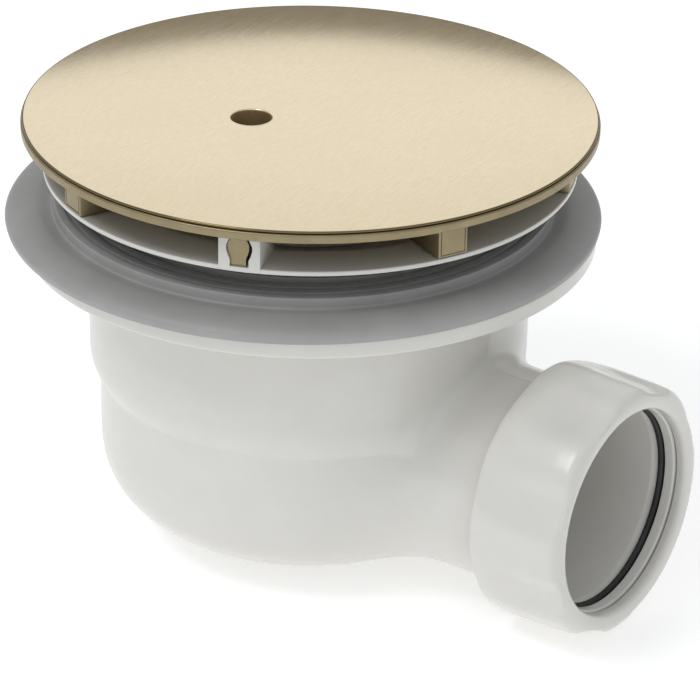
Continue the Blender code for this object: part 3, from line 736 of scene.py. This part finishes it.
def make_trap_body():
    flange_foot = BODY_TOP_Z - BODY_FLANGE_T
    fillet = 2.0
    corners = [
        (0, BODY_TOP_Z),
        (BODY_FLANGE_R, BODY_TOP_Z, 0.5),
        (BODY_FLANGE_R - 0.3, flange_foot, 0.6),
        (BODY_UPPER_R + fillet, flange_foot),
    ]
    profile = rounded(corners, closed=False)
    profile += arc(BODY_UPPER_R + fillet, flange_foot - fillet, fillet, 90, 180, 8)[1:]
    profile += bowl_profile(0)
    body = turned("white_trap_body", divided(profile, 0.9), LARGE_STEPS, closed=False)

    inside_l = 20.0
    outlet = [
        (0, SPIGOT_END_L),
        (SPIGOT_R, SPIGOT_END_L, 0.8),
        (SPIGOT_R, SPIGOT_L, 0.4),
        (NECK_R, SPIGOT_L - 0.9, 0.4),
        (NECK_R, NECK_L),
        (NECK_ROOT_R, NECK_ROOT_L),
        (NECK_ROOT_R, inside_l),
        (0, inside_l),
    ]
    swell = thread_swell(SPIGOT_R, SPIGOT_R + 0.6, OUTLET_PITCH, SPIGOT_L + 1.0, SPIGOT_END_L - 1.5, 0.02)
    outlet = divided(rounded(outlet, closed=False), 0.4)
    combine(body, [lay_on_outlet(turned("outlet", outlet, SMALL_STEPS, closed=False, swell=swell))], "UNION")

    mesh = body.data
    points = np.empty(len(mesh.vertices) * 3)
    mesh.vertices.foreach_get("co", points)
    points = points.reshape(-1, 3) / MM
    near = (points[:, 0] > inside_l) & (points[:, 0] < NECK_L + 4) & (points[:, 2] < flange_foot - 6)
    points[near] = settled(points[near])
    mesh.vertices.foreach_set("co", (points * MM).ravel())
    combine(body, [mould_seam()], "UNION")

    cavity = [(0, BODY_TOP_Z + 1), (FLANGE_THREAD_BORE_R, BODY_TOP_Z + 1)]
    cavity += bowl_profile(WALL)
    waterway = [
        (0, SPIGOT_END_L + 1),
        (PIPE_SOCKET_R + 1.2, SPIGOT_END_L + 1),
        (PIPE_SOCKET_R, SPIGOT_END_L - 1.2, 0.3),
        (PIPE_SOCKET_R, PIPE_STOP_L),
        (WATERWAY_R, PIPE_STOP_L, 0.4),
        (WATERWAY_R, inside_l),
        (0, inside_l),
    ]
    tools = [
        turned("cavity", divided(cavity, 2.0), LARGE_STEPS, closed=False),
        lay_on_outlet(turned("waterway", rounded(waterway, closed=False), SMALL_STEPS, closed=False)),
    ]
    combine(body, tools, "DIFFERENCE")
    shade(body, 40)
    return body


# ---------------------------------------------------------------- compression nut


def nut_swell(radius, height, angle):
    """Shallow grip panels: soft grooves between them that deepen towards the front."""
    panel = (0.5 + 0.5 * np.cos(NUT_LOBES * angle)) ** 1.5
    on_wall = smooth_step(radius, NUT_BORE_R + 0.8, NUT_R - 0.6)
    forward = smooth_step(height, NUT_BACK_L + 1, NUT_FACE_L - 6)
    depth = NUT_GROOVE_BACK + (NUT_GROOVE_FRONT - NUT_GROOVE_BACK) * forward
    return radius + on_wall * (NUT_LOBE - depth * (1 - panel) ** 3)


def make_outlet_nut():
    corners = [
        (NUT_BORE_R, NUT_BACK_L, 0.4),
        (NUT_R - 0.4, NUT_BACK_L, 1.6),
        (NUT_R, NUT_BACK_L + 5, 2.0),
        (NUT_R - 0.2, NUT_FACE_L - 5, 1.0),
        (NUT_R - 0.6, NUT_FACE_L, 3.6),
        (NUT_MOUTH_R, NUT_FACE_L, 1.9),
        (NUT_MOUTH_R, NUT_LIP_L, 0.3),
        (NUT_BORE_R, NUT_LIP_L),
    ]
    profile = divided(rounded(corners), 0.8, closed=True)
    return lay_on_outlet(turned("white_outlet_nut", profile, LARGE_STEPS, swell=nut_swell))


def make_slip_washer():
    front = NUT_LIP_L - FIT_GAP
    corners = [
        (WASHER_BORE_R, WASHER_BACK_L, 0.2),
        (WASHER_R, WASHER_BACK_L, 0.2),
        (WASHER_R, front, 0.2),
        (WASHER_BORE_R, front, 0.4),
    ]
    return lay_on_outlet(turned("white_slip_washer", rounded(corners), SMALL_STEPS))


def make_outlet_seal():
    back = SPIGOT_END_L + FIT_GAP
    front = WASHER_BACK_L - FIT_GAP
    corners = [
        (SEAL_BORE_R, back, 0.3),
        (SPIGOT_R, back, 0.3),
        (WASHER_R, back + 0.6, 0.3),
        (WASHER_R, front, 0.3),
        (SEAL_BORE_R + 0.4, front, 0.3),
        (SEAL_BORE_R, back + 0.6, 0.3),
    ]
    return lay_on_outlet(turned("black_outlet_seal", rounded(corners), SMALL_STEPS))


# ---------------------------------------------------------------- removable inner pieces


def make_siphon_cup():
    inner_round = CUP_ROUND - CUP_WALL
    profile = [(0, CUP_FOOT_Z + CUP_WALL)]
    profile += arc(CUP_R - CUP_ROUND, CUP_FOOT_Z + CUP_ROUND, inner_round, -90, 0, 12)
    rim = [
        (CUP_R - CUP_WALL, CUP_RIM_Z - 4),
        (CUP_R - CUP_WALL, CUP_RIM_Z, 0.8),
        (CUP_R, CUP_RIM_Z, 0.8),
        (CUP_R, CUP_RIM_Z - 4),
    ]
    profile += rounded(rim, closed=False)
    profile += arc(CUP_R - CUP_ROUND, CUP_FOOT_Z + CUP_ROUND, CUP_ROUND, 0, -90, 12)
    profile.append((0, CUP_FOOT_Z))
    cup = turned("white_siphon_cup", divided(profile, 2.0), SMALL_STEPS, closed=False)
    feet = []
    for index in range(CUP_FEET):
        foot = rod("foot", CUP_FOOT_R, foot_of("siphon_cup"), CUP_FOOT_Z + 1, rounding=0.4)
        feet.append(turn(shift(foot, CUP_FOOT_REACH, 0), index * 360 / CUP_FEET + 60))
    combine(cup, feet, "UNION")
    shade(cup, 40)
    return cup


def make_dip_tube():
    plate_foot = SEAT_Z + FIT_GAP
    plate_top = plate_foot + DIP_PLATE_T
    groove_low, groove_high = ORING_Z - ORING_GROOVE / 2, ORING_Z + ORING_GROOVE / 2
    mouth = 3.0
    inner = ORING_GROOVE_R - 1.8
    rim = [
        (DIP_BORE_R + mouth + 4, plate_foot),
        (DIP_RIM_R, plate_foot, 0.2),
        (DIP_RIM_R, groove_low, 0.1),
        (ORING_GROOVE_R, groove_low, 0.1),
        (ORING_GROOVE_R, groove_high, 0.1),
        (DIP_RIM_R, groove_high, 0.1),
        (DIP_RIM_R, DIP_RIM_TOP_Z, 0.3),
        (inner, DIP_RIM_TOP_Z, 0.3),
        (inner, plate_top, 0.5),
        (inner - 6, plate_top),
    ]
    profile = rounded(rim, closed=False)
    profile += arc(DIP_BORE_R + mouth, plate_top - mouth, mouth, 90, 180, 10)
    foot = [
        (DIP_BORE_R, DIP_FOOT_Z + 4),
        (DIP_BORE_R, DIP_FOOT_Z, 0.5),
        (DIP_BORE_R + DIP_WALL, DIP_FOOT_Z, 0.5),
        (DIP_BORE_R + DIP_WALL, DIP_FOOT_Z + 4),
    ]
    profile += rounded(foot, closed=False)
    profile += arc(DIP_BORE_R + DIP_WALL + mouth, plate_foot - mouth, mouth, 180, 90, 10)
    return turned("white_dip_tube", divided(profile, 2.0, closed=True), SMALL_STEPS, smooth_deg=40)


def make_dip_tube_oring():
    return turned("black_dip_tube_oring", arc(ORING_R, ORING_Z, ORING_CORD_R, 0, 345, 23), SMALL_STEPS)


def make_hair_strainer():
    rim_foot = SEAT_Z + FIT_GAP + DIP_PLATE_T + FIT_GAP
    rim_top = rim_foot + STRAINER_WALL
    inner_r = STRAINER_R - STRAINER_WALL
    floor_z = STRAINER_FOOT_Z + STRAINER_WALL
    corners = [
        (0, floor_z),
        (inner_r, floor_z, 0.6),
        (inner_r, rim_top, 0.9),
        (STRAINER_RIM_R, rim_top, 0.4),
        (STRAINER_RIM_R, rim_foot, 0.3),
        (STRAINER_R, rim_foot, 0.4),
        (STRAINER_R, STRAINER_FOOT_Z, 0.8),
        (0, STRAINER_FOOT_Z),
    ]
    strainer = turned("white_hair_strainer", rounded(corners, closed=False), SMALL_STEPS, closed=False)
    knob = arc(0, STRAINER_KNOB_Z, STRAINER_KNOB_R, 90, -60, 18)
    knob += [(STRAINER_STEM_R, floor_z + 1.2), (STRAINER_STEM_R + 1.2, floor_z - 0.2), (0, floor_z - 0.2)]
    combine(strainer, [turned("knob", knob, TINY_STEPS, closed=False)], "UNION")
    half = STRAINER_SLOT / 2
    slots = []
    for index in range(STRAINER_SLOTS):
        low = (inner_r - 10, -half, STRAINER_FOOT_Z - 1)
        high = (STRAINER_R - 2.4, half, floor_z + 1)
        slots.append(turn(block("slot", low, high), index * 360 / STRAINER_SLOTS))
        low = (inner_r - 1, -half, floor_z + 1.4)
        high = (STRAINER_R + 1, half, rim_foot - 5)
        slots.append(turn(block("slot", low, high), (index + 0.5) * 360 / STRAINER_SLOTS))
    combine(strainer, [joined("slots", slots)], "DIFFERENCE")
    shade(strainer, 40)
    return strainer


# ---------------------------------------------------------------- materials


MAP_SOCKETS = ("From Min", "From Max", "To Min", "To Max")


class Nodes:
    """A material's node tree with short calls for the nodes used here."""

    def __init__(self, name):
        self.material = bpy.data.materials.new(name)
        self.material.use_nodes = True
        self.tree = self.material.node_tree
        self.shader = self.tree.nodes["Principled BSDF"]
        self.place = self.add("ShaderNodeTexCoord").outputs["Object"]

    def add(self, kind, **settings):
        node = self.tree.nodes.new(kind)
        for key, value in settings.items():
            setattr(node, key, value)
        return node

    def wire(self, source, target):
        self.tree.links.new(source, target)

    def stretched(self, scale, turn_deg=0.0):
        """Object coordinates turned about Z, then scaled along each axis."""
        turned_place = self.add("ShaderNodeMapping", vector_type="POINT")
        turned_place.inputs["Rotation"].default_value = (0, 0, math.radians(turn_deg))
        self.wire(self.place, turned_place.inputs["Vector"])
        scaled = self.add("ShaderNodeMapping", vector_type="POINT")
        scaled.inputs["Scale"].default_value = scale
        self.wire(turned_place.outputs["Vector"], scaled.inputs["Vector"])
        return scaled.outputs["Vector"]

    def noise(self, scale, detail=4.0, roughness=0.55, place=None):
        node = self.add("ShaderNodeTexNoise")
        node.inputs["Scale"].default_value = scale
        node.inputs["Detail"].default_value = detail
        node.inputs["Roughness"].default_value = roughness
        self.wire(place or self.place, node.inputs["Vector"])
        return node.outputs["Fac"]

    def reach(self, centre=(0, 0)):
        """Distance in plan, in metres, from an upright axis."""
        moved = self.add("ShaderNodeMapping", vector_type="POINT")
        moved.inputs["Location"].default_value = (-centre[0] * MM, -centre[1] * MM, 0)
        moved.inputs["Scale"].default_value = (1, 1, 0)
        self.wire(self.place, moved.inputs["Vector"])
        length = self.add("ShaderNodeVectorMath", operation="LENGTH")
        self.wire(moved.outputs["Vector"], length.inputs[0])
        return length.outputs["Value"]

    def added(self, first, second):
        node = self.add("ShaderNodeMath", operation="ADD")
        self.wire(first, node.inputs[0])
        self.wire(second, node.inputs[1])
        return node.outputs["Value"]

    def ranged(self, value, low, high, out_low, out_high):
        node = self.add("ShaderNodeMapRange")
        for socket, number in zip(MAP_SOCKETS, (low, high, out_low, out_high)):
            node.inputs[socket].default_value = number
        self.wire(value, node.inputs["Value"])
        return node.outputs["Result"]

    def blended(self, share, first, second):
        """A colour between two, each a colour or a socket."""
        node = self.add("ShaderNodeMix", data_type="RGBA")
        self.wire(share, node.inputs["Factor"])
        for socket, colour in (("A", first), ("B", second)):
            target = [s for s in node.inputs if s.name == socket and s.type == "RGBA"][0]
            if isinstance(colour, tuple):
                target.default_value = (*colour, 1)
            else:
                self.wire(colour, target)
        return [s for s in node.outputs if s.type == "RGBA"][0]

    def bumped(self, value, distance, strength=1.0, under=None):
        """A bump of that real depth in metres, over an earlier one."""
        node = self.add("ShaderNodeBump")
        node.inputs["Distance"].default_value = distance
        node.inputs["Strength"].default_value = strength
        self.wire(value, node.inputs["Height"])
        if under:
            self.wire(under, node.inputs["Normal"])
        return node.outputs["Normal"]

    def finish(self, colour, roughness, normal, **constants):
        self.wire(colour, self.shader.inputs["Base Color"])
        self.wire(roughness, self.shader.inputs["Roughness"])
        self.wire(normal, self.shader.inputs["Normal"])
        for name, value in constants.items():
            self.shader.inputs[name.replace("_", " ")].default_value = value
        return self.material


BRUSH_DEG = 96.0
EDGE_BAND_WIDTH = 0.35
EDGE_BROWN = (0.20, 0.15, 0.075)
WALL_TONE = (0.80, 0.64, 0.42)


def brushed_brass():
    """Straight fine brushing across the plate, in pale champagne brass, darker brown in a thin ring at its
    outer edge.
    """
    nodes = Nodes("brushed_brass")
    streaks = nodes.noise(1.0, 2, 0.5, nodes.stretched((7000, 420, 2000), 90 - BRUSH_DEG))
    wide = nodes.noise(1.0, 3, 0.5, nodes.stretched((1500, 120, 600), 90 - BRUSH_DEG))
    cloud = nodes.noise(60, 3)
    tone = nodes.blended(nodes.ranged(wide, 0.3, 0.7, 0, 1), (0.815, 0.68, 0.46), (0.85, 0.715, 0.49))
    tone = nodes.blended(nodes.ranged(streaks, 0.4, 0.6, 0, 0.5), tone, (0.93, 0.81, 0.60))
    tone = nodes.blended(nodes.ranged(cloud, 0.35, 0.7, 0, 0.25), tone, (0.80, 0.67, 0.45))
    # a thin ring at the plate's outer edge is coloured darker brown
    edge = nodes.ranged(nodes.reach(), (PLATE_R - EDGE_BAND_WIDTH) * MM, (PLATE_R - EDGE_BAND_WIDTH + 0.1) * MM, 0, 1)
    tone = nodes.blended(edge, tone, EDGE_BROWN)
    wall = nodes.ranged(nodes.reach(lift_hole_centre()), (LIFT_HOLE_R + 0.1) * MM, LIFT_HOLE_R * MM, 0, 1)
    tone = nodes.blended(wall, tone, WALL_TONE)
    satin = nodes.ranged(wide, 0.25, 0.75, 0.10, 0.14)
    rough = nodes.ranged(wall, 0, 1, 0, 0.3)
    rough = nodes.added(rough, satin)
    normal = nodes.bumped(streaks, 0.0012 * MM)
    normal = nodes.bumped(wide, 0.0016 * MM, under=normal)
    return nodes.finish(tone, rough, normal, Metallic=1.0)


def brass_moulding():
    """Satin brass finish on a moulded part, a little uneven, darker than the plate."""
    nodes = Nodes("brass_moulding")
    grain = nodes.noise(1800, 3)
    cloud = nodes.noise(180, 4)
    tone = nodes.blended(nodes.ranged(cloud, 0.3, 0.7, 0, 1), (0.27, 0.222, 0.13), (0.33, 0.272, 0.165))
    rough = nodes.ranged(grain, 0.3, 0.7, 0.34, 0.46)
    normal = nodes.bumped(grain, 0.01 * MM)
    return nodes.finish(tone, rough, normal, Metallic=0.85)


def white_plastic():
    """Satin white polypropylene: fine mottling and faint flow marks."""
    nodes = Nodes("white_pp")
    mottle = nodes.noise(90, 5, 0.6)
    flow = nodes.noise(1.0, 3, 0.5, nodes.stretched((30, 30, 160)))
    fine = nodes.noise(2600, 2)
    tone = nodes.blended(nodes.ranged(mottle, 0.3, 0.7, 0, 1), (0.69, 0.68, 0.645), (0.72, 0.71, 0.675))
    tone = nodes.blended(nodes.ranged(flow, 0.4, 0.7, 0, 0.3), tone, (0.675, 0.665, 0.63))
    rough = nodes.ranged(mottle, 0.3, 0.7, 0.20, 0.26)
    normal = nodes.bumped(fine, 0.003 * MM)
    normal = nodes.bumped(mottle, 0.03 * MM, under=normal)
    return nodes.finish(tone, rough, normal, Subsurface_Weight=0.0, Specular_IOR_Level=0.45)


def grey_rubber():
    """Moulded grey rubber with a matt bloom, fine tooth and a few light scuffs."""
    nodes = Nodes("grey_rubber")
    cloud = nodes.noise(70, 5, 0.6)
    scuffs = nodes.noise(1.0, 5, 0.7, nodes.stretched((260, 60, 260), 25))
    fine = nodes.noise(2400, 3)
    tone = nodes.blended(nodes.ranged(cloud, 0.3, 0.7, 0, 1), (0.325, 0.323, 0.318), (0.375, 0.373, 0.368))
    tone = nodes.blended(nodes.ranged(scuffs, 0.64, 0.74, 0, 0.35), tone, (0.42, 0.42, 0.41))
    rough = nodes.ranged(cloud, 0.3, 0.7, 0.42, 0.55)
    normal = nodes.bumped(fine, 0.006 * MM)
    normal = nodes.bumped(cloud, 0.05 * MM, under=normal)
    return nodes.finish(tone, rough, normal, Specular_IOR_Level=0.45)


def black_rubber():
    nodes = Nodes("black_rubber")
    cloud = nodes.noise(150, 4)
    fine = nodes.noise(2400, 3)
    tone = nodes.blended(nodes.ranged(cloud, 0.3, 0.7, 0, 1), (0.012, 0.012, 0.012), (0.028, 0.027, 0.026))
    rough = nodes.ranged(cloud, 0.3, 0.7, 0.38, 0.55)
    return nodes.finish(tone, rough, nodes.bumped(fine, 0.006 * MM), Specular_IOR_Level=0.4)


# ---------------------------------------------------------------- table, light and camera

TABLE_GLOW = 0.42
ROOM_OVERHEAD = 0.7
ROOM_SIDES = {0: (0.45, 1.1), 90: (0.33, 0.45), 180: (1.0, 0.88), -90: (0.36, 0.55)}  # low and high glow
ROOM_COLOUR = (0.97, 0.985, 1.0)
CARD_TOP_DEG = 19.0
KEY_WATTS = 6.0
VIEW_DEG = 36.2  # the camera looks along +Y turned by this about Z
VIEW_DOWN_DEG = 25.967
VIEW_ROLL_DEG = 0.854
VIEW_DISTANCE = 810.5
VIEW_FOCAL = 210.49
COVER_RIGHT_OF_VIEW = -8.055
COVER_ABOVE_VIEW = 41.47
VIEW_SHIFT = (-0.00216, -0.0414)


def view_axes():
    """Right, up and forward of the camera, as unit vectors."""
    heading, down, roll = (math.radians(v) for v in (VIEW_DEG, VIEW_DOWN_DEG, VIEW_ROLL_DEG))
    right = Vector((math.cos(heading), math.sin(heading), 0))
    level = Vector((-math.sin(heading), math.cos(heading), 0))
    forward = level * math.cos(down) + Vector((0, 0, -math.sin(down)))
    up = level * math.sin(down) + Vector((0, 0, math.cos(down)))
    return right * math.cos(roll) + up * math.sin(roll), up * math.cos(roll) - right * math.sin(roll), forward


def place_camera():
    right, up, forward = view_axes()
    cover = Vector((0, 0, COVER_EDGE_Z))
    eye = cover - right * COVER_RIGHT_OF_VIEW - up * COVER_ABOVE_VIEW - forward * VIEW_DISTANCE
    camera = bpy.data.objects.new("camera", bpy.data.cameras.new("camera"))
    bpy.context.scene.collection.objects.link(camera)
    camera.matrix_world = Matrix.Translation(eye * MM) @ Matrix((right, up, -forward)).transposed().to_4x4()
    camera.data.sensor_width = 36.0
    camera.data.lens = VIEW_FOCAL
    camera.data.shift_x, camera.data.shift_y = VIEW_SHIFT
    camera.data.clip_start = 0.01
    bpy.context.scene.camera = camera


def towards(azimuth_deg, elevation_deg, distance):
    """A point round the drain; azimuth 0 is the camera's side and grows anticlockwise from above."""
    azimuth = math.radians(VIEW_DEG - 90 + azimuth_deg)
    elevation = math.radians(elevation_deg)
    flat = distance * math.cos(elevation)
    return Vector((flat * math.cos(azimuth), flat * math.sin(azimuth), distance * math.sin(elevation)))


def lamp(name, azimuth_deg, elevation_deg, distance, size, power, colour=(1, 1, 1)):
    light = bpy.data.lights.new(name, "AREA")
    light.shape = "RECTANGLE"
    light.size, light.size_y = size
    light.energy = power
    light.color = colour
    obj = bpy.data.objects.new(name, light)
    bpy.context.scene.collection.objects.link(obj)
    aim = Vector((0, 0, -0.03))
    obj.location = aim + towards(azimuth_deg, elevation_deg, distance)
    obj.rotation_euler = (aim - obj.location).to_track_quat("-Z", "Y").to_euler()
    return obj


def make_table():
    low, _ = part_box("outlet_nut")
    edit = bmesh.new()
    bmesh.ops.create_grid(edit, x_segments=1, y_segments=1, size=3.0)
    table = edit_object("table", edit)
    table.location = (0, 0, low.z - 0.0002)
    material = bpy.data.materials.new("table")
    material.use_nodes = True
    shader = material.node_tree.nodes["Principled BSDF"]
    shader.inputs["Base Color"].default_value = (0.8, 0.8, 0.8, 1)
    shader.inputs["Roughness"].default_value = 0.9
    shader.inputs["Specular IOR Level"].default_value = 0.0
    shader.inputs["Emission Color"].default_value = (1, 1, 1, 1)
    shader.inputs["Emission Strength"].default_value = TABLE_GLOW
    table.data.materials.append(material)


def light_room():
    """A soft tent of light: four sides, each with a low and a high glow, and one glow overhead."""
    world = bpy.data.worlds.new("room")
    world.use_nodes = True
    bpy.context.scene.world = world
    tree = world.node_tree
    place = tree.nodes.new("ShaderNodeTexCoord").outputs["Generated"]

    def dot(direction):
        node = tree.nodes.new("ShaderNodeVectorMath")
        node.operation = "DOT_PRODUCT"
        tree.links.new(place, node.inputs[0])
        node.inputs[1].default_value = direction
        return node.outputs["Value"]

    def eased(value, low, high, out_low, out_high):
        node = tree.nodes.new("ShaderNodeMapRange")
        node.interpolation_type = "SMOOTHSTEP"
        for socket, number in zip(MAP_SOCKETS, (low, high, out_low, out_high)):
            node.inputs[socket].default_value = number
        tree.links.new(value, node.inputs["Value"])
        return node.outputs["Result"]

    def maths(operation, first, second):
        node = tree.nodes.new("ShaderNodeMath")
        node.operation = operation
        for socket, value in zip(node.inputs, (first, second)):
            if isinstance(value, float):
                socket.default_value = value
            else:
                tree.links.new(value, socket)
        return node.outputs["Value"]

    height = dot((0, 0, 1))
    overhead = eased(height, 0.62, 0.92, 0.0, 1.0)
    glow = maths("MULTIPLY", overhead, ROOM_OVERHEAD)
    walls = maths("SUBTRACT", 1.0, overhead)
    for azimuth, (low, high) in ROOM_SIDES.items():
        facing = maths("MAXIMUM", dot(towards(azimuth, 0, 1)), 0.0)
        facing = maths("MULTIPLY", facing, facing)
        level = maths("SUBTRACT", 1.0, maths("MULTIPLY", height, height))
        share = maths("DIVIDE", facing, maths("MAXIMUM", level, 0.001))
        side = maths("MULTIPLY", maths("MULTIPLY", share, walls), eased(height, 0.3, 0.6, low, high))
        glow = maths("ADD", glow, side)
    tint = tree.nodes.new("ShaderNodeVectorMath")
    tint.operation = "SCALE"
    tint.inputs[0].default_value = ROOM_COLOUR
    tree.links.new(glow, tint.inputs["Scale"])
    tree.links.new(tint.outputs["Vector"], tree.nodes["Background"].inputs["Color"])


def make_dark_card():
    """A dark card low behind the drain, seen only in its reflections."""
    radius, foot = 2.0, -0.08
    top = radius * math.tan(math.radians(CARD_TOP_DEG))
    edit = bmesh.new()
    rows = []
    for azimuth in range(110, 251, 5):
        flat = towards(azimuth, 0, radius)
        rows.append([edit.verts.new((flat.x, flat.y, z)) for z in (foot, top)])
    for near, far in zip(rows, rows[1:]):
        edit.faces.new((near[0], far[0], far[1], near[1]))
    card = edit_object("dark_card", edit)
    material = bpy.data.materials.new("dark_card")
    material.use_nodes = True
    shader = material.node_tree.nodes["Principled BSDF"]
    shader.inputs["Base Color"].default_value = (0.30, 0.28, 0.24, 1)
    shader.inputs["Roughness"].default_value = 1.0
    card.data.materials.append(material)
    card.visible_camera = False
    card.visible_diffuse = False
    card.visible_shadow = False


# ---------------------------------------------------------------- the scene

BRASS = brushed_brass()
MOULDING = brass_moulding()
WHITE = white_plastic()
GREY = grey_rubber()
BLACK = black_rubber()

show(make_cover_plate(), "cover_plate", "cover", BRASS)
show(make_cover_carrier(), "cover_carrier", "cover", MOULDING)
show(make_top_flange(), "top_flange", "flange", WHITE)
show(make_flange_seal(), "flange_seal", "tray_seal", BLACK)
show(make_body_gasket(), "body_gasket", "trap", GREY)
show(make_trap_body(), "trap_body", "trap", WHITE)
show(make_outlet_nut(), "outlet_nut", "nut", WHITE)
show(make_slip_washer(), "slip_washer", "pipe_rings", WHITE)
show(make_outlet_seal(), "outlet_seal", "pipe_rings", BLACK)
show(make_siphon_cup(), "siphon_cup", "cup", WHITE)
show(make_dip_tube(), "dip_tube", "dip", WHITE)
show(make_dip_tube_oring(), "dip_tube_oring", "dip", BLACK)
show(make_hair_strainer(), "hair_strainer", "strainer", WHITE)

place_camera()
make_table()
make_dark_card()
light_room()
lamp("key", -50, 55, 1.6, (0.6, 0.45), KEY_WATTS)
bpy.context.scene.view_settings.view_transform = "Standard"
